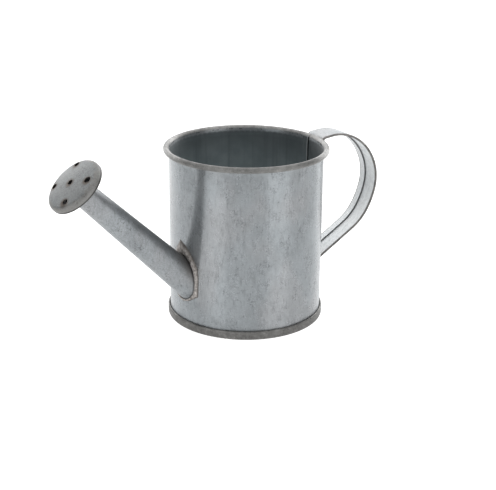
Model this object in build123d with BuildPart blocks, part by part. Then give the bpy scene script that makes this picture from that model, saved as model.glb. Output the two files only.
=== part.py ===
"""Watering can: a small galvanised-steel can made of rolled, folded and soldered sheet.

Millimetres. The origin is the centre of the base, +Z is up, the handle points along +X and the
spout leans out towards -X.
"""
import os
from math import atan2, cos, degrees, radians, sin

from build123d import *

# --- can body ---
can_height = 80.0
wall_radius = 35.0            # outside of the wall
sheet = 0.35                  # thickness of the can, spout and rose sheet
bead_radius = 1.28            # half the diameter of the curled rim
bead_centre_radius = 36.21
flare_height = 3.2            # the wall leans out to the bead over this height
bead_curl_angle = 300.0       # how far the sheet is curled round
seam_azimuth = 2.0            # edge of the lapped side seam, from the handle's middle
seam_lap_angle = 6.6
seam_slit = 0.4               # gap in the rim bead where the sheet's two ends meet

# --- seam round the foot: the pan's edge is folded over the wall's flange ---
foot_height = 4.06
foot_corner_radius = 0.6
foot_hook_bottom = 1.3
flange_top = 3.3
pan_disc_radius = 31.0        # the flat floor, up to the pan's rolled rim
pan_overlap = 1.0

# --- spout ---
spout_skew = 5.0              # the spout is not quite opposite the handle
spout_elevation = 44.67
spout_axis_drop = 10.21       # its axis crosses the can's axis this far below the base
spout_sideways = 1.0          # and passes it at this distance
spout_length = 121.8          # from the can's axis to the rim of the rose
spout_root = 30.0             # the tube is made from here and trimmed to the wall
spout_radius_at_wall = 7.28
spout_radius_at_rose = 5.14
spout_end_inset = 2.4         # the tube stops this far short of the rose's rim
spout_solder_depth = 0.7      # how proud the solder stands of the wall

# --- rose ---
rose_radius = 13.1
rose_height = 4.0
rose_dome_radius = 70.0
rose_dome_reach = 11.1
rose_shoulder_radius = 2.0
rose_tilt = (-1.9, 3.0, 0)    # degrees: the rose sits slightly askew on the tube
rose_lip_radius = 0.3
rose_lip_inner_radius = 12.1
rose_cone_radius = 11.7
rose_back_depth = 3.2
rose_solder_reach = 1.6       # how far the solder ring runs out over the back
rose_solder_length = 1.5      # and down the tube
rose_solder_toe = 0.4         # its thickness there
rose_hole_diameter = 2.5
rose_wide_hole_diameter = 2.9  # one hole of the ring is punched wider
# The outer holes are punched by eye: radius and turn in degrees of each, the wide one first.
rose_outer_holes = ((9.2, 26.4), (10.6, 127.7), (10.1, 204.9), (9.85, 303.2))

# --- handle ---
strap_width = 13.0
strap_sheet = 0.45
hem_width = 4.2
hem_depth = 1.05              # thickness of the folded edge
tab_gap = 0.05                # between an end tab and the wall
upper_tab_bottom = 64.0
upper_tab_top = 73.2
lower_tab_bottom = 7.5
lower_tab_top = 19.1
bead_bend_radius = 3.0        # the two bends that take the strap round the rim bead
top_bend_radius = 1.8
lower_bend_radius = 1.5
tab_solder_depth = 0.4
tab_solder_margin = 1.1       # solder showing round a tab
tab_solder_corner = 2.0
upper_solder_top = 72.5
lower_solder_top = 17.5

os.makedirs("parts", exist_ok=True)


def vertical_plane(azimuth):
    """Upright plane through the can's axis: local x runs outwards, local y runs up."""
    a = radians(azimuth)
    return Plane(origin=(0, 0, 0), x_dir=(cos(a), sin(a), 0), z_dir=(sin(a), -cos(a), 0))


through_can = 3 * can_height  # length of a cylinder that cuts right through the can's height
spout_azimuth = radians(180 + spout_skew)
elevation = radians(spout_elevation)
sideways = Vector(-sin(spout_azimuth), cos(spout_azimuth), 0)
outwards = Vector(cos(spout_azimuth), sin(spout_azimuth), 0)
upwards = Vector(0, 0, 1)

# Local z of this plane runs along the spout, from the can's axis outwards.
spout_axis = Plane(
    origin=sideways * spout_sideways - upwards * spout_axis_drop,
    x_dir=sideways,
    z_dir=outwards * cos(elevation) + upwards * sin(elevation),
)
rose_rim = spout_axis.offset(spout_length).rotated(rose_tilt)
# Local x runs out from the spout's axis, local y along it.
rose_section = Plane(origin=rose_rim.origin, x_dir=rose_rim.x_dir, z_dir=-rose_rim.y_dir)
rose_line = Axis(rose_rim.origin, rose_rim.z_dir)
spout_wall_distance = wall_radius / cos(elevation)


def spout_radius(distance):
    """Outside radius of the spout at a distance along its axis."""
    run = spout_length - spout_wall_distance
    narrowing = (spout_radius_at_wall - spout_radius_at_rose) / run
    return spout_radius_at_wall - narrowing * (distance - spout_wall_distance)


def spout_cone(end, inset, mode):
    """The spout's cone from its root to the given distance, its surface set in by the inset."""
    with Locations(spout_axis.offset(spout_root)):
        Cone(
            bottom_radius=spout_radius(spout_root) - inset,
            top_radius=spout_radius(end) - inset,
            height=end - spout_root,
            align=(Align.CENTER, Align.CENTER, Align.MIN),
            mode=mode,
        )


# --- body wall ---
wall_line = wall_radius - sheet / 2
flange_line = wall_radius + 1.5 * sheet
flange_bottom = 1.5 * sheet
curl_line = bead_radius - sheet / 2
bead_z = can_height - bead_radius
flare_bottom = bead_z - flare_height
flare_lean = degrees(atan2(bead_centre_radius - curl_line - wall_line, flare_height))
wall_inside = wall_radius - sheet
flare_inside = bead_centre_radius - bead_radius

with BuildPart() as body_wall:
    with BuildSketch(Plane.XZ):
        with BuildLine():
            wall_path = FilletPolyline(
                (flange_line, flange_top),
                (flange_line, flange_bottom),
                (wall_line, flange_bottom),
                (wall_line, flare_bottom),
                radius=foot_corner_radius - sheet,
            )
            curl = CenterArc((bead_centre_radius, bead_z), curl_line, 180 - flare_lean, -bead_curl_angle)
            Line(wall_path @ 1, curl @ 0)
            offset(amount=sheet / 2, side=Side.BOTH, kind=Kind.ARC)
        make_face()
    revolve(axis=Axis.Z)
    # the sheet's inner end, lapped inside the wall
    with BuildSketch(vertical_plane(seam_azimuth)):
        with BuildLine():
            Polyline(
                (wall_inside - sheet, foot_hook_bottom),
                (wall_inside - sheet, flare_bottom),
                (flare_inside - sheet, bead_z),
                (flare_inside + sheet / 2, bead_z),
                (wall_inside + sheet / 2, flare_bottom),
                (wall_inside + sheet / 2, foot_hook_bottom),
                close=True,
            )
        make_face()
    revolve(axis=Axis.Z, revolution_arc=seam_lap_angle)
    # the slit goes through the whole bead, from inside the wall to clear of the outside
    with Locations(vertical_plane(seam_azimuth)):
        with Locations((bead_centre_radius, bead_z, 0)):
            Box(6 * bead_radius, 2.2 * bead_radius, seam_slit, mode=Mode.SUBTRACT)
    spout_cone(spout_length, sheet, Mode.SUBTRACT)
body_wall.part.label = "body_wall"
export_step(body_wall.part, "parts/body_wall.step")

# --- base pan ---
pan_wall_line = flange_line + sheet
fold_z = foot_height - 1.5 * sheet
with BuildPart() as base_pan:
    with BuildSketch(Plane.XZ):
        with BuildLine():
            rim_path = FilletPolyline(
                (pan_disc_radius - pan_overlap, sheet / 2),
                (pan_wall_line, sheet / 2),
                (pan_wall_line, fold_z),
                radius=foot_corner_radius,
            )
            fold = CenterArc((flange_line, fold_z), sheet, 0, 180)
            Line(fold @ 1, (flange_line - sheet, foot_hook_bottom))
            offset(amount=sheet / 2, side=Side.BOTH, kind=Kind.ARC)
        make_face()
    revolve(axis=Axis.Z)
    Cylinder(pan_disc_radius, sheet, align=(Align.CENTER, Align.CENTER, Align.MIN))
base_pan.part.label = "base_pan"
export_step(base_pan.part, "parts/base_pan.step")

# --- spout tube, its foot coped to the wall ---
spout_end = spout_length - spout_end_inset
with BuildPart() as spout_tube:
    spout_cone(spout_end, 0, Mode.ADD)
    spout_cone(spout_end, sheet, Mode.SUBTRACT)
    Cylinder(wall_radius, through_can, mode=Mode.SUBTRACT)
spout_tube.part.label = "spout_tube"
export_step(spout_tube.part, "parts/spout_tube.step")

# --- solder round the spout's foot: an off-centre point at the top, square lower corners ---
# Local x runs sideways from the spout's axis, local y up from the base.
solder_front = Plane(
    origin=sideways * spout_sideways + outwards * wall_radius / 2,
    x_dir=sideways,
    z_dir=outwards,
)
with BuildPart() as spout_solder:
    with BuildSketch(solder_front):
        with BuildLine():
            Polyline(
                (0, 12.7),
                (3.6, 13.6),
                (9.4, 17.2),
                (9.7, 26.4),
                (9.1, 31.2),
                (6.6, 34.6),
                (4.7, 37.6),
                (1.8, 40.0),
                (-2.3, 42.0),
                (-4.4, 39.0),
                (-6.2, 35.0),
                (-9.1, 31.2),
                (-9.7, 26.4),
                (-9.4, 17.2),
                (-3.6, 13.6),
                close=True,
            )
        make_face()
    extrude(amount=wall_radius)
    Cylinder(wall_radius + spout_solder_depth, through_can, mode=Mode.INTERSECT)
    Cylinder(wall_radius, through_can, mode=Mode.SUBTRACT)
    spout_cone(spout_length, 0, Mode.SUBTRACT)
spout_solder.part.label = "spout_solder"
export_step(spout_solder.part, "parts/spout_solder.step")

# --- rose back: flat flange and shallow cone, with a hole for the tube ---
rose_bore = spout_radius_at_rose - sheet
with BuildPart() as rose_back:
    with BuildSketch(rose_section):
        with BuildLine():
            Polyline(
                (rose_radius - sheet, 0),
                (rose_cone_radius, 0),
                (rose_bore, -rose_back_depth),
                (rose_bore, -rose_back_depth + sheet),
                (rose_cone_radius, sheet),
                (rose_radius - sheet, sheet),
                close=True,
            )
        make_face()
    revolve(axis=rose_line)
    spout_cone(spout_length, 0, Mode.SUBTRACT)
rose_back.part.label = "rose_back"
export_step(rose_back.part, "parts/rose_back.step")

# --- rose face: domed cap, its lip turned in under the back's flange ---
punch_length = rose_radius + rose_height
with BuildPart() as rose_face:
    with BuildSketch(rose_section):
        with BuildLine():
            dome = JernArc((0, rose_height), (1, 0), rose_dome_radius, -degrees(rose_dome_reach / rose_dome_radius))
            corner_z = (dome @ 1).Y - (rose_radius - rose_dome_reach) * rose_dome_reach / rose_dome_radius
            FilletPolyline(
                dome @ 1,
                (rose_radius, corner_z),
                (rose_radius, -sheet),
                (rose_lip_inner_radius, -sheet),
                radius=(rose_shoulder_radius, rose_lip_radius),
            )
            offset(amount=sheet, side=Side.RIGHT)
        make_face()
    revolve(axis=rose_line)
    with Locations(rose_rim):
        Cylinder(rose_hole_diameter / 2, punch_length, mode=Mode.SUBTRACT)
        for hole, (radius, turn) in enumerate(rose_outer_holes):
            diameter = rose_hole_diameter if hole else rose_wide_hole_diameter
            with PolarLocations(radius, 1, start_angle=turn):
                Cylinder(diameter / 2, punch_length, mode=Mode.SUBTRACT)
rose_face.part.label = "rose_face"
export_step(rose_face.part, "parts/rose_face.step")

# --- solder ring between the rose's back and the tube ---
back_slope = rose_back_depth / (rose_cone_radius - rose_bore)
ring_radius = spout_radius_at_rose + rose_solder_reach
ring_bottom = -rose_back_depth - rose_solder_length
with BuildPart() as rose_solder:
    with BuildSketch(rose_section):
        with BuildLine():
            Polyline(
                (ring_radius, sheet / 2 - back_slope * (rose_cone_radius - ring_radius)),
                (rose_bore, sheet / 2 - rose_back_depth),
                (rose_bore, ring_bottom),
                (spout_radius_at_rose + rose_solder_toe, ring_bottom),
                close=True,
            )
        make_face()
    revolve(axis=rose_line)
    add(rose_back.part, mode=Mode.SUBTRACT)
    spout_cone(spout_length, 0, Mode.SUBTRACT)
rose_solder.part.label = "rose_solder"
export_step(rose_solder.part, "parts/rose_solder.step")

# --- handle strap: both edges hemmed towards the can, a flat tab at each end ---
upper_tab_x = wall_radius + tab_gap
bead_clear_x = bead_centre_radius + bead_radius + tab_gap
lower_tab_x = wall_radius + hem_depth + tab_gap
# the folded edge's section: the strap's own layer is near, the hem's layer far
near = strap_sheet / 2
far = hem_depth - strap_sheet / 2
fold_middle = hem_depth / 2
fold_line = fold_middle - near
flat_end = strap_width / 2 - near - fold_line
hem_end = strap_width / 2 - hem_width + near

with BuildPart() as handle_strap:
    with BuildLine(Plane.XZ) as strap_path:
        tab = FilletPolyline(
            (upper_tab_x, upper_tab_bottom),
            (upper_tab_x, upper_tab_top),
            (bead_clear_x, 76.4),
            (bead_clear_x, 79.9),
            (41.0, 80.35),
            radius=(bead_bend_radius, bead_bend_radius, top_bend_radius),
        )
        loop = Spline(
            tab @ 1,
            (46.0, 80.7),
            (52.9, 79.4),
            (60.0, 75.6),
            (66.1, 69.0),
            (69.7, 60.6),
            (70.2, 54.4),
            (67.7, 44.7),
            (63.2, 37.2),
            (59.6, 33.7),
            (54.8, 30.5),
            tangents=(tab % 1, (-0.855, -0.518)),
            tangent_scalars=(1, 1),
        )
        FilletPolyline(
            loop @ 1,
            (lower_tab_x, lower_tab_top),
            (lower_tab_x, lower_tab_bottom),
            radius=lower_bend_radius,
        )
    with BuildSketch(Plane(origin=strap_path.line @ 0, x_dir=(0, 1, 0), z_dir=(0, 0, 1))) as strap_section:
        with BuildLine():
            Line((-hem_end, -far), (-flat_end, -far))
            CenterArc((-flat_end, -fold_middle), fold_line, 90, 180)
            Line((-flat_end, -near), (flat_end, -near))
            CenterArc((flat_end, -fold_middle), fold_line, -90, 180)
            Line((flat_end, -far), (hem_end, -far))
            offset(amount=strap_sheet / 2, side=Side.BOTH, kind=Kind.ARC)
        make_face()
    sweep(sections=strap_section.sketch, path=strap_path.line)
handle_strap.part.label = "handle_strap"
export_step(handle_strap.part, "parts/handle_strap.step")


def tab_solder(bottom, top):
    """Solder between a tab and the wall, showing a little round the tab."""
    with BuildSketch(Plane(origin=(wall_radius / 2, 0, 0), x_dir=(0, 1, 0), z_dir=(1, 0, 0))) as outline:
        with Locations((0, (bottom + top) / 2)):
            RectangleRounded(strap_width + 2 * tab_solder_margin, top - bottom, tab_solder_corner)
    extrude(outline.sketch, amount=wall_radius / 2 + tab_solder_depth)
    Cylinder(wall_radius, through_can, mode=Mode.SUBTRACT)
    add(handle_strap.part, mode=Mode.SUBTRACT)


with BuildPart() as handle_solder_upper:
    tab_solder(upper_tab_bottom - tab_solder_margin, upper_solder_top)
handle_solder_upper.part.label = "handle_solder_upper"
export_step(handle_solder_upper.part, "parts/handle_solder_upper.step")

with BuildPart() as handle_solder_lower:
    tab_solder(lower_tab_bottom - tab_solder_margin, lower_solder_top)
handle_solder_lower.part.label = "handle_solder_lower"
export_step(handle_solder_lower.part, "parts/handle_solder_lower.step")
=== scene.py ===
import math

import bmesh
import bpy
from mathutils import Matrix, Vector, geometry, noise


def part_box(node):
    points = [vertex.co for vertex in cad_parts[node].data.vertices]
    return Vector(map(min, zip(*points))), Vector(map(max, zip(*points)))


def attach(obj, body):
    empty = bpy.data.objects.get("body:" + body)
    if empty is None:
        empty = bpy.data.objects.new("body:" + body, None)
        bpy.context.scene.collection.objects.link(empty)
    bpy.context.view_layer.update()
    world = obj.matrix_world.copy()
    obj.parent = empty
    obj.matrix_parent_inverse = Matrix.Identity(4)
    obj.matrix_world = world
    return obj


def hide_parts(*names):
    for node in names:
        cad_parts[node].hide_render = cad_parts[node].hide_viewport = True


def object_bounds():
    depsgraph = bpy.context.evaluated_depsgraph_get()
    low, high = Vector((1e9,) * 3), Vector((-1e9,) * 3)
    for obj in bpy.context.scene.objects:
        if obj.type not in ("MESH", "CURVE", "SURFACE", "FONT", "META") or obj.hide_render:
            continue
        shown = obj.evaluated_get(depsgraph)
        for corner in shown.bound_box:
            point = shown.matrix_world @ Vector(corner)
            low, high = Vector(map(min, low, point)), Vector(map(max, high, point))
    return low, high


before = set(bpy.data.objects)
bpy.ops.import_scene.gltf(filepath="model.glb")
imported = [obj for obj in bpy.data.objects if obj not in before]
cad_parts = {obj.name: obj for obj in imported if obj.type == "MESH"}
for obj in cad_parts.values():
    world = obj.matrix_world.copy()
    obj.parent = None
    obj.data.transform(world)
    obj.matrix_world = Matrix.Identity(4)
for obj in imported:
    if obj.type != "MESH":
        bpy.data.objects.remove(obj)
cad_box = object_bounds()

# The frame is in metres: its origin is the centre of the base, the handle points along +X and the
# spout leans towards -X. Sizes below are in millimetres until MM turns them into metres.
MM = 0.001
upwards = Vector((0, 0, 1))
towards_handle = Vector((1, 0, 0))
across_handle = Vector((0, 1, 0))

# --- can ---
rim_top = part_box("body_wall")[1].z / MM
wall_radius = 35.0
wall_inside = 34.65
bead_diameter = 2.56
bead_middle = 36.2  # radius of the bead's own middle from the can's axis
seam_azimuth = math.radians(2)  # the side seam's raw edge, beside the handle

# --- handle ---
strap_half_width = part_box("handle_strap")[1].y / MM
hem_width = 4.2
gap_middle = (50, 0, 55)  # middle of the finger gap between the can and the handle
tabs_end = 38  # the strap's end tabs lie nearer to the can's axis than this

# --- spout: its axis runs from spout_start along spout_direction ---
spout_azimuth = math.radians(185)
spout_elevation = math.radians(44.67)
spout_drop = 10.21
spout_sideways = 1.0
spout_radius_at_wall = 7.28
spout_length = 121.8
outwards = Vector((math.cos(spout_azimuth), math.sin(spout_azimuth), 0))
sideways = Vector((-math.sin(spout_azimuth), math.cos(spout_azimuth), 0))
spout_direction = outwards * math.cos(spout_elevation) + upwards * math.sin(spout_elevation)
spout_start = sideways * spout_sideways - upwards * spout_drop
spout_foot_height = wall_radius * math.tan(spout_elevation) - spout_drop

# --- rose: it sits a little askew on the end of the spout's axis ---
rose_rim = spout_start + spout_direction * spout_length
rose_turn = Matrix((sideways, spout_direction.cross(sideways), spout_direction)).transposed()
rose_turn = rose_turn @ Matrix.Rotation(math.radians(-1.9), 3, "X")
rose_turn = rose_turn @ Matrix.Rotation(math.radians(3), 3, "Y")
rose_axis = rose_turn @ upwards
rose_radius = 13.1
rose_height = 4.0
rose_holes = ((0, 0), (9.2, 26.4), (10.6, 127.7), (10.1, 204.9), (9.85, 303.2))  # radius, turn in degrees
hole_radius = 1.25

# --- studio: its lengths are in metres ---
floor_size = 4
floor_grey = 0.38
floor_glow = 0.95  # so bright that the can's shadow hardly shows
world_glow = (0.21, 0.22, 0.23)
backdrop_white = (1, 1, 1)
# Name, turn and elevation in degrees, distance, width and height, brightness.
softboxes = (
    ("backdrop", 180, 22, 2.2, (4.0, 1.6), 1.1),
    ("overhead", 180, 76, 1.7, (3.2, 3.2), 1.4),
    ("front_left", -43, 16, 1.0, (0.5, 0.6), 2.2),
    ("front_right", 48, 16, 1.0, (0.62, 0.6), 2.35),
    ("side_left", -135, 20, 1.0, (0.9, 0.6), 2.1),
    ("side_right", 141, 16, 1.0, (0.62, 0.6), 3.2),
)

# --- camera: azimuth, distance and height place it round the can, and pitch, yaw and roll aim it ---
camera_azimuth = math.radians(270 - 31.3)
camera_distance = 496.0
camera_height = 216.4
camera_pitch = math.radians(20.40)
camera_yaw = math.radians(0.138)
camera_roll = math.radians(0.587)
camera_lens = 82.64
camera_sensor = 36.0


def add_camera():
    away = Vector((math.cos(camera_azimuth), math.sin(camera_azimuth), 0))
    heading = Matrix.Rotation(-camera_yaw, 3, "Z") @ -away
    forward = (heading * math.cos(camera_pitch) - upwards * math.sin(camera_pitch)).normalized()
    right = forward.cross(upwards).normalized()
    up = right.cross(forward)
    turned_right = math.cos(camera_roll) * right + math.sin(camera_roll) * up
    turned_up = math.cos(camera_roll) * up - math.sin(camera_roll) * right
    data = bpy.data.cameras.new("photo_camera")
    data.lens = camera_lens
    data.sensor_width = camera_sensor
    data.clip_start = 0.01
    camera = bpy.data.objects.new("photo_camera", data)
    bpy.context.scene.collection.objects.link(camera)
    place = Matrix((turned_right, turned_up, -forward)).transposed().to_4x4()
    place.translation = (away * camera_distance + upwards * camera_height) * MM
    camera.matrix_world = place
    bpy.context.scene.camera = camera


# --- studio ---
def add_softbox(name, turn, elevation, distance, size, brightness):
    """Area light aimed at the can. turn is degrees to the camera's right, seen from the can.

    brightness is the light's own radiance, so it doesn't depend on its size.
    """
    azimuth = camera_azimuth + math.radians(turn)
    lift = math.radians(elevation)
    direction = Vector((
        math.cos(azimuth) * math.cos(lift),
        math.sin(azimuth) * math.cos(lift),
        math.sin(lift),
    ))
    data = bpy.data.lights.new(name, "AREA")
    data.shape = "RECTANGLE"
    data.size, data.size_y = size
    data.energy = brightness * math.pi * size[0] * size[1]
    light = bpy.data.objects.new(name, data)
    bpy.context.scene.collection.objects.link(light)
    light.location = direction * distance
    light.rotation_euler = direction.to_track_quat("Z", "Y").to_euler()


def add_world():
    """White where the camera sees past the floor, and a dim glow for everything else."""
    world = bpy.data.worlds.new("studio")
    world.use_nodes = True
    tree = world.node_tree
    tree.nodes.clear()
    lit = tree.nodes.new("ShaderNodeBackground")
    lit.inputs["Color"].default_value = (*world_glow, 1)
    seen = tree.nodes.new("ShaderNodeBackground")
    seen.inputs["Color"].default_value = (*backdrop_white, 1)
    path = tree.nodes.new("ShaderNodeLightPath")
    mix = tree.nodes.new("ShaderNodeMixShader")
    output = tree.nodes.new("ShaderNodeOutputWorld")
    tree.links.new(path.outputs["Is Camera Ray"], mix.inputs["Fac"])
    tree.links.new(lit.outputs["Background"], mix.inputs[1])
    tree.links.new(seen.outputs["Background"], mix.inputs[2])
    tree.links.new(mix.outputs["Shader"], output.inputs["Surface"])
    bpy.context.scene.world = world


def add_floor():
    bpy.ops.mesh.primitive_plane_add(size=floor_size, location=(0, 0, cad_box[0][2]))
    floor = bpy.context.object
    floor.name = "floor"
    material = bpy.data.materials.new("floor_white")
    material.use_nodes = True
    shader = material.node_tree.nodes["Principled BSDF"]
    shader.inputs["Base Color"].default_value = (floor_grey, floor_grey, floor_grey, 1)
    shader.inputs["Roughness"].default_value = 0.9
    shader.inputs["Specular IOR Level"].default_value = 0.1
    shader.inputs["Emission Color"].default_value = (1, 1, 1, 1)
    shader.inputs["Emission Strength"].default_value = floor_glow
    floor.data.materials.append(material)


def add_studio():
    add_floor()
    add_world()
    for softbox in softboxes:
        add_softbox(*softbox)
    bpy.context.scene.view_settings.view_transform = "Standard"


# --- shader helpers ---
class Surface:
    """Builds one node material step by step. Places inside it are in millimetres."""

    def __init__(self, name):
        self.material = bpy.data.materials.new(name)
        self.material.use_nodes = True
        self.tree = self.material.node_tree
        self.shader = self.tree.nodes["Principled BSDF"]
        where = self.tree.nodes.new("ShaderNodeTexCoord")
        self.place = self.vector("MULTIPLY", where.outputs["Object"], (1 / MM, 1 / MM, 1 / MM))

    def link(self, source, target):
        if hasattr(source, "is_output"):
            self.tree.links.new(source, target)
        else:
            target.default_value = source

    def vector(self, operation, first, second):
        node = self.tree.nodes.new("ShaderNodeVectorMath")
        node.operation = operation
        self.link(first, node.inputs[0])
        self.link(second, node.inputs["Scale" if operation == "SCALE" else 1])
        return node.outputs["Value" if operation in ("DOT_PRODUCT", "DISTANCE") else "Vector"]

    def math(self, operation, first, second=0.0):
        node = self.tree.nodes.new("ShaderNodeMath")
        node.operation = operation
        self.link(first, node.inputs[0])
        self.link(second, node.inputs[1])
        return node.outputs["Value"]

    def add(self, first, second):
        return self.math("ADD", first, second)

    def minus(self, first, second):
        return self.math("SUBTRACT", first, second)

    def times(self, first, second):
        return self.math("MULTIPLY", first, second)

    def larger(self, first, second):
        return self.math("MAXIMUM", first, second)

    def noise(self, scale, detail=3.0, roughness=0.5, stretch=(1, 1, 1), shift=0.0):
        """Cloudy value of about 0.5. A larger scale is finer, and shift picks another pattern."""
        placed = self.vector("ADD", self.vector("MULTIPLY", self.place, stretch), (shift, shift, shift))
        node = self.tree.nodes.new("ShaderNodeTexNoise")
        self.link(placed, node.inputs["Vector"])
        node.inputs["Scale"].default_value = scale
        node.inputs["Detail"].default_value = detail
        node.inputs["Roughness"].default_value = roughness
        return node.outputs["Fac"]

    def cells(self, scale):
        """Distance to the nearest of many scattered points, 0 at a point."""
        node = self.tree.nodes.new("ShaderNodeTexVoronoi")
        self.link(self.place, node.inputs["Vector"])
        node.inputs["Scale"].default_value = scale
        return node.outputs["Distance"]

    def ramp(self, value, low, high, start=0.0, end=1.0):
        """Maps low..high smoothly to start..end."""
        node = self.tree.nodes.new("ShaderNodeMapRange")
        node.interpolation_type = "SMOOTHSTEP"
        self.link(value, node.inputs["Value"])
        node.inputs["From Min"].default_value = low
        node.inputs["From Max"].default_value = high
        node.inputs["To Min"].default_value = start
        node.inputs["To Max"].default_value = end
        return node.outputs["Result"]

    def band(self, value, middle, half_width, softness):
        """1 where value is within half_width of middle, 0 away from it."""
        off = self.math("ABSOLUTE", self.minus(value, middle))
        return self.ramp(off, half_width, half_width + softness, start=1, end=0)

    def mix(self, amount, first, second):
        node = self.tree.nodes.new("ShaderNodeMix")
        node.data_type = "RGBA"
        self.link(amount, node.inputs["Factor"])
        self.link((*first, 1) if isinstance(first, tuple) else first, node.inputs["A"])
        self.link((*second, 1) if isinstance(second, tuple) else second, node.inputs["B"])
        return node.outputs["Result"]

    def attribute(self, name):
        node = self.tree.nodes.new("ShaderNodeAttribute")
        node.attribute_name = name
        return node.outputs["Fac"]

    def along(self, direction, start=(0, 0, 0)):
        """Distance of the place from start along a direction."""
        offset = self.vector("SUBTRACT", self.place, tuple(start))
        return self.vector("DOT_PRODUCT", offset, tuple(direction))

    def radius(self):
        """Distance from the can's upright axis."""
        return self.vector("DISTANCE", self.vector("MULTIPLY", self.place, (1, 1, 0)), (0, 0, 0))

    def bump(self, height, strength, depth):
        node = self.tree.nodes.new("ShaderNodeBump")
        node.inputs["Strength"].default_value = strength
        node.inputs["Distance"].default_value = depth * MM
        self.link(height, node.inputs["Height"])
        self.tree.links.new(node.outputs["Normal"], self.shader.inputs["Normal"])

    def normal(self):
        """Direction that the surface faces."""
        return self.tree.nodes.new("ShaderNodeNewGeometry").outputs["Normal"]

    def roll_grain(self, amount):
        """Fine rolling marks that run round the can, so its highlights stretch up and down."""
        quarter_turn = 0.25
        tangent = self.tree.nodes.new("ShaderNodeTangent")
        tangent.direction_type = "RADIAL"
        tangent.axis = "Z"
        self.tree.links.new(tangent.outputs["Tangent"], self.shader.inputs["Tangent"])
        self.shader.inputs["Anisotropic"].default_value = amount
        self.shader.inputs["Anisotropic Rotation"].default_value = quarter_turn

    def finish(self, colour, roughness, metallic):
        self.link(colour, self.shader.inputs["Base Color"])
        self.link(roughness, self.shader.inputs["Roughness"])
        self.link(metallic, self.shader.inputs["Metallic"])
        return self.material


# --- colours, linear; a pair is the light and the dark of a mottled surface ---
wall_zinc = (0.308, 0.329, 0.342), (0.246, 0.263, 0.273)
spout_zinc = (0.305, 0.324, 0.336), (0.23, 0.244, 0.254)
rose_zinc = (0.2, 0.214, 0.216), (0.117, 0.127, 0.13)
rose_back_zinc = (0.36, 0.38, 0.39), (0.28, 0.295, 0.30)
strap_zinc = (0.50, 0.52, 0.53), (0.41, 0.43, 0.44)
inside_zinc = (0.29, 0.336, 0.346), (0.235, 0.278, 0.29)
foot_oxide = (0.175, 0.172, 0.166), (0.13, 0.128, 0.123)
bead_outer_shaded_oxide = (0.225, 0.222, 0.214), (0.172, 0.17, 0.164)
bead_inner_lit_oxide = (0.37, 0.365, 0.355), (0.28, 0.276, 0.268)
fold_oxide = (0.2, 0.19, 0.18), (0.1, 0.095, 0.09)
solder_grey = (0.5, 0.47, 0.447), (0.26, 0.242, 0.228)

inside_reflection_streak = (0.16, 0.19, 0.2)
inside_painted_shade = (0.05, 0.06, 0.063)
seam_side_inside_shade = (0.05, 0.055, 0.057)
seam_edge_highlight = (0.4, 0.41, 0.41)
seam_gap_shadow = (0.03, 0.03, 0.03)
wall_scorch_and_reflection = (0.12, 0.11, 0.10)
spout_scorch_and_shade = (0.13, 0.12, 0.11)
spout_dark_reflection = (0.12, 0.122, 0.124)
rose_edge = (0.2, 0.176, 0.15)
hole_rust = (0.07, 0.052, 0.038)
lip_shade_and_grime = (0.045, 0.043, 0.04)
strap_painted_light = (0.78, 0.8, 0.8)
hem_shadow_line = (0.14, 0.14, 0.14)
solder_patch = (0.13, 0.113, 0.1)
solder_pit = (0.05, 0.045, 0.04)
solder_crevice_shade = (0.07, 0.062, 0.056)


# --- materials ---
def scaled(colour, factor):
    return tuple(factor * value for value in colour)


def zinc(surface, light, dark, rough, marks=0.6):
    """Mottled galvanised sheet with painted glints: returns its colour, roughness and height."""
    clouds = surface.noise(0.06)
    blotches = surface.noise(0.3, detail=4, roughness=0.6, stretch=(1, 1, 0.6), shift=7)
    streaks = surface.noise(1.1, roughness=0.6, stretch=(1, 1, 0.22), shift=3)
    grain = surface.noise(1.7, roughness=0.7, shift=17)
    tone = surface.add(surface.times(clouds, 0.5), surface.times(blotches, 0.5))
    colour = surface.mix(surface.ramp(tone, 0.34, 0.66), dark, light)
    warm_patches = surface.noise(0.045, detail=2, stretch=(1, 1, 0.6), shift=11)
    warmth = surface.times(surface.ramp(warm_patches, 0.44, 0.62), 0.45)
    warmer = tuple(value * tint for value, tint in zip(light, (1.05, 0.975, 0.95)))
    colour = surface.mix(warmth, colour, warmer)
    stain = scaled(dark, 0.25)
    colour = surface.mix(surface.ramp(streaks, 0.45, 0.75, start=0.0, end=0.3), colour, stain)
    colour = surface.mix(surface.ramp(grain, 0.42, 0.72, start=0.0, end=0.18), colour, stain)
    # Painted glints: lighter specks in the grain stand in for small highlights.
    colour = surface.mix(surface.ramp(grain, 0.28, 0.5, start=0.22, end=0.0), colour, scaled(light, 1.6))
    worn = wear_marks(surface)
    colour = surface.mix(surface.times(worn, marks), colour, stain)
    roughness = surface.ramp(blotches, 0.3, 0.7, start=rough - 0.05, end=rough + 0.05)
    height = surface.add(surface.times(streaks, 0.6), surface.times(blotches, 0.5))
    height = surface.minus(height, surface.times(worn, 0.7))
    return colour, roughness, height


def wear_marks(surface):
    """1 in the small pits and on the curly hair scratches that galvanised sheet collects."""
    pits = surface.ramp(surface.cells(0.42), 0.04, 0.22, start=1, end=0)
    pit_patches = surface.ramp(surface.noise(0.16, detail=2, shift=5), 0.54, 0.66)
    curls = surface.noise(0.2, roughness=0.6, stretch=(1, 1, 1.3), shift=2)
    hairs = surface.band(curls, 0.5, 0.003, 0.009)
    hair_patches = surface.ramp(surface.noise(0.11, roughness=0.6, shift=8), 0.5, 0.6)
    short_curls = surface.noise(0.55, roughness=0.6, stretch=(1, 1, 1.5), shift=9)
    scuffs = surface.band(short_curls, 0.5, 0.006, 0.02)
    scuff_patches = surface.ramp(surface.noise(0.13, roughness=0.6, shift=13), 0.56, 0.66)
    scratches = surface.larger(surface.times(hairs, hair_patches), surface.times(scuffs, scuff_patches))
    return surface.larger(surface.times(pits, pit_patches), scratches)


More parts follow.
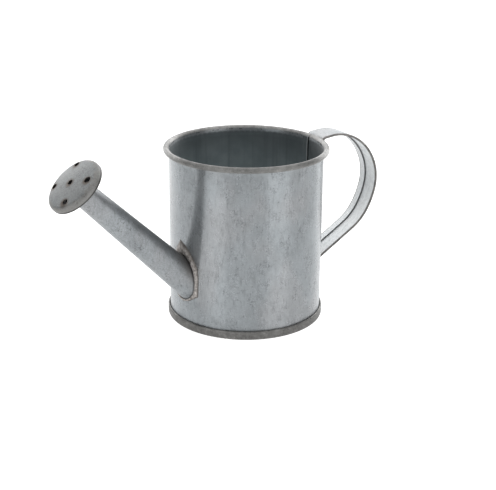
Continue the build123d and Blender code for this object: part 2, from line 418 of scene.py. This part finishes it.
def oxide(surface, light, dark):
    """Dull brown-grey of worked and weathered edges, with dark specks and rubbed spots."""
    clouds = surface.noise(0.35, detail=4, roughness=0.55)
    colour = surface.mix(surface.ramp(clouds, 0.36, 0.64), dark, light)
    specks = surface.ramp(surface.noise(1.3, roughness=0.6, shift=12), 0.54, 0.7, start=0, end=0.5)
    colour = surface.mix(specks, colour, scaled(dark, 0.3))
    rubbed = surface.ramp(surface.noise(0.9, roughness=0.6, shift=15), 0.55, 0.7, start=0, end=0.35)
    return surface.mix(rubbed, colour, scaled(light, 1.7))


def inside_gloom(surface):
    """Dull grey of the can's inside, with long upright dark streaks painted as reflections, and painted
    shade that darkens it towards the rim.
    """
    light, dark = inside_zinc
    colour = surface.mix(surface.ramp(surface.noise(0.12, detail=4), 0.35, 0.65), dark, light)
    # Painted reflections: long upright dark streaks on the inside.
    reflection_streaks = surface.noise(0.4, roughness=0.6, stretch=(1, 1, 0.04), shift=21)
    colour = surface.mix(surface.ramp(reflection_streaks, 0.48, 0.68, start=0, end=0.5), colour, inside_reflection_streak)
    # Painted shade: the inside is darkened towards the rim.
    rim_shade = surface.ramp(surface.along(upwards), rim_top - 24, rim_top - 1, start=0, end=0.84)
    return surface.mix(rim_shade, colour, inside_painted_shade)


def solder_stain_and_reflection(surface):
    """1 on the wall beside and above the middle of the spout's foot, fading to 0 away from it: a scorch
    stain and a painted reflection of the solder bead and the tube.
    """
    across = surface.math("DIVIDE", surface.along(sideways, spout_start), spout_radius_at_wall)
    half_height = spout_radius_at_wall / math.cos(spout_elevation)
    up = surface.math("DIVIDE", surface.along(upwards, upwards * spout_foot_height), half_height)
    squares = surface.add(surface.times(across, across), surface.times(up, up))
    raggedness = surface.ramp(surface.noise(0.5, detail=4, shift=4), 0.3, 0.7, start=-0.12, end=0.12)
    reach = surface.add(surface.math("SQRT", squares), raggedness)
    spout_side = surface.ramp(surface.along(outwards), 15, 20)
    above_foot = surface.ramp(surface.along(upwards), spout_foot_height, spout_foot_height + 8)
    close = surface.ramp(reach, 1.2, 1.7, start=1, end=0)
    return surface.times(close, surface.times(spout_side, above_foot))


def wall_regions(surface):
    """Where the sheet is the can's inside, and where it is the curled rim bead."""
    height = surface.along(upwards)
    bead_bottom = rim_top - bead_diameter
    within = surface.ramp(surface.radius(), wall_inside + 0.1, wall_inside + 0.25, start=1, end=0)
    below_bead = surface.ramp(height, rim_top - 1.2, rim_top - 0.9, start=1, end=0)
    above_bead_bottom = surface.ramp(height, bead_bottom - 0.5, bead_bottom + 0.3)
    off_wall = surface.ramp(surface.radius(), wall_radius, wall_radius + 0.2)
    bead_top = surface.ramp(height, rim_top - 1.3, rim_top - 1.0)
    bead = surface.larger(surface.times(above_bead_bottom, off_wall), bead_top)
    return surface.times(within, below_bead), bead


def bead_oxide_lit_and_shaded(surface):
    """Colour of the rim bead: oxide, with painted shade darkening its outer side and a painted highlight
    lightening its inner one.
    """
    # The outer side is painted shade and the inner side a painted highlight, on top of the oxide.
    outer_side = surface.ramp(surface.radius(), bead_middle - 0.1, bead_middle + 0.5)
    return surface.mix(outer_side, oxide(surface, *bead_inner_lit_oxide), oxide(surface, *bead_outer_shaded_oxide))


def seam_marks(surface, colour, inside, bead):
    """Painted shade on the inside beyond the lapped seam, a painted highlight along its raw edge, and the
    gap itself with its painted shadow.
    """
    handle_side = surface.ramp(surface.along(towards_handle), 20, 25)
    seam_side = surface.times(surface.larger(inside, bead), handle_side)
    across_seam = surface.along((-math.sin(seam_azimuth), math.cos(seam_azimuth), 0))
    beyond_seam = surface.ramp(across_seam, -1.5, 0, start=0.65, end=0.15)
    # Painted shade: the inside on the handle side, mostly beyond the seam, is darkened.
    inside_shade = surface.times(surface.times(beyond_seam, inside), seam_side)
    colour = surface.mix(inside_shade, colour, seam_side_inside_shade)
    # Painted highlight: a light line along the seam's raw edge.
    rubbed = surface.times(surface.band(across_seam, 0.7, 0.1, 0.2), seam_side)
    colour = surface.mix(surface.times(rubbed, 0.6), colour, seam_edge_highlight)
    # The seam's gap, painted dark as the gap and its painted shadow.
    gap_shadow = surface.times(surface.band(across_seam, 0, 0.08, 0.2), seam_side)
    return surface.mix(gap_shadow, colour, seam_gap_shadow)


def wall_material():
    surface = Surface("galvanised_wall")
    colour, rough, height = zinc(surface, *wall_zinc, rough=0.3)
    # Dark brown beside the spout's foot: scorch stain and a painted reflection of the solder bead and the
    # tube.
    colour = surface.mix(surface.times(solder_stain_and_reflection(surface), 0.7), colour, wall_scorch_and_reflection)
    inside, bead = wall_regions(surface)
    colour = surface.mix(inside, colour, inside_gloom(surface))
    colour = surface.mix(bead, colour, bead_oxide_lit_and_shaded(surface))
    colour = seam_marks(surface, colour, inside, bead)
    surface.bump(height, strength=0.3, depth=0.06)
    surface.roll_grain(0.95)
    rough = surface.add(rough, surface.times(inside, 0.3))
    rough = surface.add(rough, surface.times(bead, 0.18))
    metallic = surface.minus(0.68, surface.times(inside, 0.5))
    metallic = surface.minus(metallic, surface.times(bead, 0.2))
    surface.shader.inputs["Specular IOR Level"].default_value = 0.25
    return surface.finish(colour, rough, metallic)


def foot_material():
    surface = Surface("oxidised_foot")
    inside = surface.ramp(surface.radius(), wall_inside - 0.6, wall_inside - 0.1, start=1, end=0)
    colour = surface.mix(inside, oxide(surface, *foot_oxide), inside_gloom(surface))
    height = surface.noise(0.9, detail=5, roughness=0.65)
    surface.bump(height, strength=0.4, depth=0.06)
    rough = surface.ramp(height, 0.3, 0.7, start=0.42, end=0.62)
    metallic = surface.ramp(inside, 0, 1, start=1, end=0.3)
    return surface.finish(colour, rough, metallic)


def spout_material():
    surface = Surface("galvanised_spout")
    colour, rough, height = zinc(surface, *spout_zinc, rough=0.46)
    above_axis = surface.along(spout_direction.cross(sideways), spout_start)
    # The tube's upper side near the wall is darkened: scorch stain and painted shade in the corner with
    # the wall.
    near_wall = surface.ramp(surface.radius(), wall_radius + 1, wall_radius + 12, start=1, end=0)
    scorch_and_shade = surface.times(near_wall, surface.ramp(above_axis, -2, 4))
    colour = surface.mix(surface.times(scorch_and_shade, 0.6), colour, spout_scorch_and_shade)
    # Painted reflection: the top of the tube is darkened, standing in for a dark reflection.
    dark_reflection = surface.ramp(above_axis, 1, 5.5, start=0, end=0.5)
    colour = surface.mix(dark_reflection, colour, spout_dark_reflection)
    surface.bump(height, strength=0.35, depth=0.06)
    return surface.finish(colour, rough, metallic=0.75)


def hole_stain(surface):
    """1 beside the rose's holes, a little to one side, where rust has run from them."""
    run = 0.3
    stain = 0.0
    for radius, turn in rose_holes:
        across = radius * math.cos(math.radians(turn)) - run
        down = radius * math.sin(math.radians(turn)) - run
        spot = rose_rim + rose_turn @ Vector((across, down, rose_height - 0.5))
        reach = surface.vector("DISTANCE", surface.place, tuple(spot))
        stain = surface.larger(stain, surface.ramp(reach, hole_radius, hole_radius + 1.7, start=1, end=0))
    return stain


def rose_material():
    surface = Surface("galvanised_rose")
    colour, rough, height = zinc(surface, *rose_zinc, rough=0.5)
    depth = surface.along(rose_axis, rose_rim)
    in_axis = surface.vector("SCALE", tuple(rose_axis), depth)
    from_rim = surface.vector("SUBTRACT", surface.place, tuple(rose_rim))
    off_axis = surface.vector("DISTANCE", from_rim, in_axis)
    raggedness = surface.ramp(surface.noise(0.4, detail=4, shift=6), 0.3, 0.7, start=-0.8, end=0.8)
    edge = surface.ramp(surface.add(off_axis, raggedness), rose_radius - 1.8, rose_radius - 0.8)
    colour = surface.mix(surface.times(edge, 0.3), colour, rose_edge)
    colour = surface.mix(surface.times(hole_stain(surface), 0.9), colour, hole_rust)
    # The lip beside the back plate is painted dark: grime in the crimp joint and painted shade.
    lip_shade = surface.ramp(depth, 1.1, 1.6, start=1, end=0)
    colour = surface.mix(lip_shade, colour, lip_shade_and_grime)
    surface.bump(height, strength=0.35, depth=0.06)
    return surface.finish(colour, rough, metallic=0.45)


def rose_back_material():
    surface = Surface("galvanised_rose_back")
    colour, rough, height = zinc(surface, *rose_back_zinc, rough=0.46)
    surface.bump(height, strength=0.35, depth=0.06)
    return surface.finish(colour, rough, metallic=0.7)


def strap_material():
    """Painted light makes the strap brighter inside the loop; it is dark on its folded edges."""
    surface = Surface("galvanised_strap")
    colour, rough, height = zinc(surface, *strap_zinc, rough=0.5, marks=0.5)
    to_middle = surface.vector("SUBTRACT", gap_middle, surface.place)
    facing_middle = surface.vector("DOT_PRODUCT", surface.normal(), to_middle)
    past_tabs = surface.ramp(surface.along(towards_handle), tabs_end, tabs_end + 1)
    inwards = surface.times(surface.ramp(facing_middle, 0, 1), past_tabs)
    patches = surface.noise(0.9, detail=4, roughness=0.65, shift=6)
    # Painted light: the faces turned into the loop are made brighter.
    painted_light = surface.times(inwards, surface.ramp(patches, 0.35, 0.65, start=0.45, end=0.75))
    colour = surface.mix(painted_light, colour, strap_painted_light)
    side = surface.math("ABSOLUTE", surface.along(across_handle))
    fold = surface.ramp(side, strap_half_width - 0.95, strap_half_width - 0.6)
    colour = surface.mix(fold, colour, oxide(surface, *fold_oxide))
    # Painted shadow under the hems' raw edges on the inside of the loop, with their dark cut edges.
    hem_shadow = surface.band(side, strap_half_width - hem_width, 0.1, 0.15)
    colour = surface.mix(surface.times(hem_shadow, inwards), colour, hem_shadow_line)
    surface.bump(height, strength=0.3, depth=0.06)
    return surface.finish(colour, rough, metallic=0.25)


def solder_material():
    surface = Surface("dull_solder")
    lumps = surface.noise(0.9, detail=5, roughness=0.65)
    light, dark = solder_grey
    colour = surface.mix(surface.ramp(lumps, 0.38, 0.62), dark, light)
    patches = surface.noise(0.45, detail=4, roughness=0.6, shift=2)
    colour = surface.mix(surface.ramp(patches, 0.5, 0.64, start=0, end=0.75), colour, solder_patch)
    pits = surface.ramp(surface.cells(0.8), 0.1, 0.3, start=1, end=0)
    colour = surface.mix(surface.times(pits, 0.7), colour, solder_pit)
    # Painted shade in the crevices where the solder meets the spout and the wall.
    colour = surface.mix(surface.attribute("edge"), colour, solder_crevice_shade)
    height = surface.minus(lumps, surface.times(pits, 0.5))
    surface.bump(height, strength=0.8, depth=0.2)
    rough = surface.ramp(lumps, 0.3, 0.7, start=0.5, end=0.75)
    return surface.finish(colour, rough, metallic=0.6)


def dress(node, material):
    """Gives a CAD node its material."""
    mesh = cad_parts[node].data
    mesh.materials.clear()
    mesh.materials.append(material)


def dress_all():
    dress("body_wall", wall_material())
    dress("base_pan", foot_material())
    dress("spout_tube", spout_material())
    dress("rose_face", rose_material())
    dress("rose_back", rose_back_material())
    dress("handle_strap", strap_material())
    solder = solder_material()
    for node in ("spout_solder", "rose_solder", "handle_solder_upper", "handle_solder_lower"):
        dress(node, solder)
    return solder


# --- solder bead run round the spout's foot ---
bead_turns = 200  # sections round the foot
bead_steps = 14  # faces across each section, from the spout to the bead's outer edge
bead_height = 0.95
bead_lumps = 0.22
bead_sink = 0.15
coarse_lumps = 0.8
fine_lumps = 2.1
# The section's dark ends are painted shade in the crevices along the spout and the wall.
dark_near_spout = 0.28  # the section is dark from the spout up to here,
dark_near_edge = 0.66  # and from here to its outer edge
well_outside = 5  # a point this many times as far out as the spout's foot lies beyond the solder


def wall_depth(side):
    """How far outwards the wall stands at a distance sideways of the spout's axis."""
    return math.sqrt(wall_radius ** 2 - (side + spout_sideways) ** 2)


def spout_foot_point(turn):
    """Point of the curve where the spout meets the wall: sideways of its axis, and height."""
    side = spout_radius_at_wall * math.cos(turn)
    axis_height = wall_depth(side) * math.tan(spout_elevation) - spout_drop
    return Vector((side, axis_height + spout_radius_at_wall * math.sin(turn) / math.cos(spout_elevation)))


def solder_outline():
    """Corners of the CAD solder's outline on the wall: sideways of the spout's axis, and height."""
    places = [vertex.co / MM - spout_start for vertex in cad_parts["spout_solder"].data.vertices]
    flat = [Vector((place.dot(sideways), place.dot(upwards) - spout_drop)) for place in places]
    return [flat[index] for index in geometry.convex_hull_2d(flat)]


def outline_point(outline, inner):
    """Where the line from the middle of the spout's foot through inner crosses the outline."""
    middle = Vector((0, spout_foot_height))
    far = middle + (inner - middle) * well_outside
    for start, end in zip(outline, outline[1:] + outline[:1]):
        crossing = geometry.intersect_line_line_2d(middle, far, start, end)
        if crossing:
            return crossing
    return inner


def bead_profile(step):
    """Height of the bead's section, from the spout at 0 to its outer edge at 1."""
    rise_at_spout = 0.3 * (1 - step) ** 2
    hump = 0.9 * math.sin(math.pi * step) ** 0.7
    return rise_at_spout + hump


def bead_place(flat, height):
    """Point at a height off the wall: flat is sideways of the spout's axis, and height on the can."""
    base = outwards * wall_depth(flat.x) + sideways * (flat.x + spout_sideways)
    return base * ((wall_radius + height) / wall_radius) + upwards * flat.y


def bead_section(work, crevice_shade_layer, inner, outer):
    """Vertices across the bead, from the spout's foot at inner to the solder's outline at outer."""
    section = []
    for index in range(bead_steps + 1):
        step = index / bead_steps
        flat = inner.lerp(outer, step)
        here = bead_place(flat, 0)
        lump = noise.noise(here * coarse_lumps) + 0.5 * noise.noise(here * fine_lumps)
        height = bead_height * bead_profile(step) + bead_lumps * lump * math.sin(math.pi * step)
        vertex = work.verts.new(bead_place(flat, height - bead_sink) * MM)
        dark_at_edge = (step - dark_near_edge) / (1 - dark_near_edge)
        vertex[crevice_shade_layer] = max(1 - step / dark_near_spout, dark_at_edge, 0)
        section.append(vertex)
    return section


def add_spout_bead(material):
    outline = solder_outline()
    work = bmesh.new()
    # The "edge" layer holds painted crevice shade at the bead's inner and outer edges.
    crevice_shade_layer = work.verts.layers.float.new("edge")
    sections = []
    for number in range(bead_turns):
        inner = spout_foot_point(2 * math.pi * number / bead_turns)
        outer = outline_point(outline, inner)
        sections.append(bead_section(work, crevice_shade_layer, inner, outer))
    for first, second in zip(sections, sections[1:] + sections[:1]):
        # Index -1 is the last vertex, so the first face closes the bead along the wall.
        for index in range(-1, bead_steps):
            face = work.faces.new((first[index], first[index + 1], second[index + 1], second[index]))
            face.smooth = True
    bmesh.ops.recalc_face_normals(work, faces=work.faces)
    mesh = bpy.data.meshes.new("spout_bead")
    work.to_mesh(mesh)
    work.free()
    mesh.materials.append(material)
    bead = bpy.data.objects.new("spout_bead", mesh)
    bpy.context.scene.collection.objects.link(bead)
    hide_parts("spout_solder")
    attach(bead, "root")


add_camera()
add_studio()
solder = dress_all()
add_spout_bead(solder)
